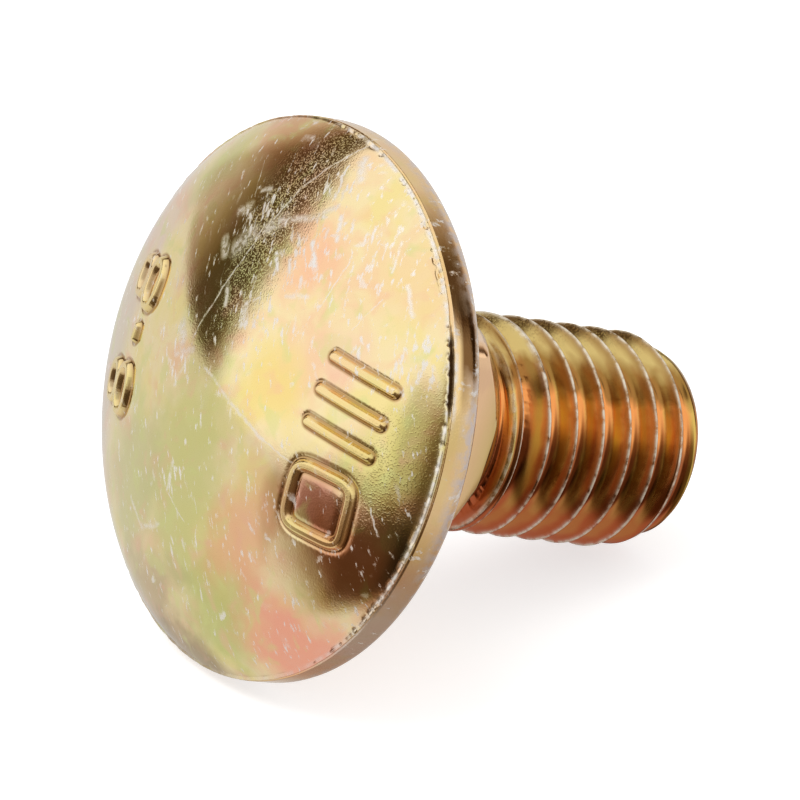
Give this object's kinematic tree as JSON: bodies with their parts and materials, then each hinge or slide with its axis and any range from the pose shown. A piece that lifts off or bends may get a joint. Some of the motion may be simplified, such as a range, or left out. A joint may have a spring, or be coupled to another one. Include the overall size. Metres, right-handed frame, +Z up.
{
  "type": "carriage bolt",
  "caption": "Short carriage bolt with a wide low domed head, a square neck and a full metric thread, forged in steel with yellow-passivated zinc plating.",
  "frame": {"origin": "on the shank's axis, in the plane of the underside of the head", "axes": "+Z up as the bolt lies on a table; the shank points along +X and 21 degrees down, and the dome faces -X"},
  "size_m": [0.0215, 0.02, 0.019],
  "materials": {
    "yellow_zinc": "yellow-passivated zinc plating, bright, with iridescent green and pink areas, scuffed"
  },
  "bodies": {
    "root": {"bolt": "yellow_zinc"}
  },
  "joints": []
}
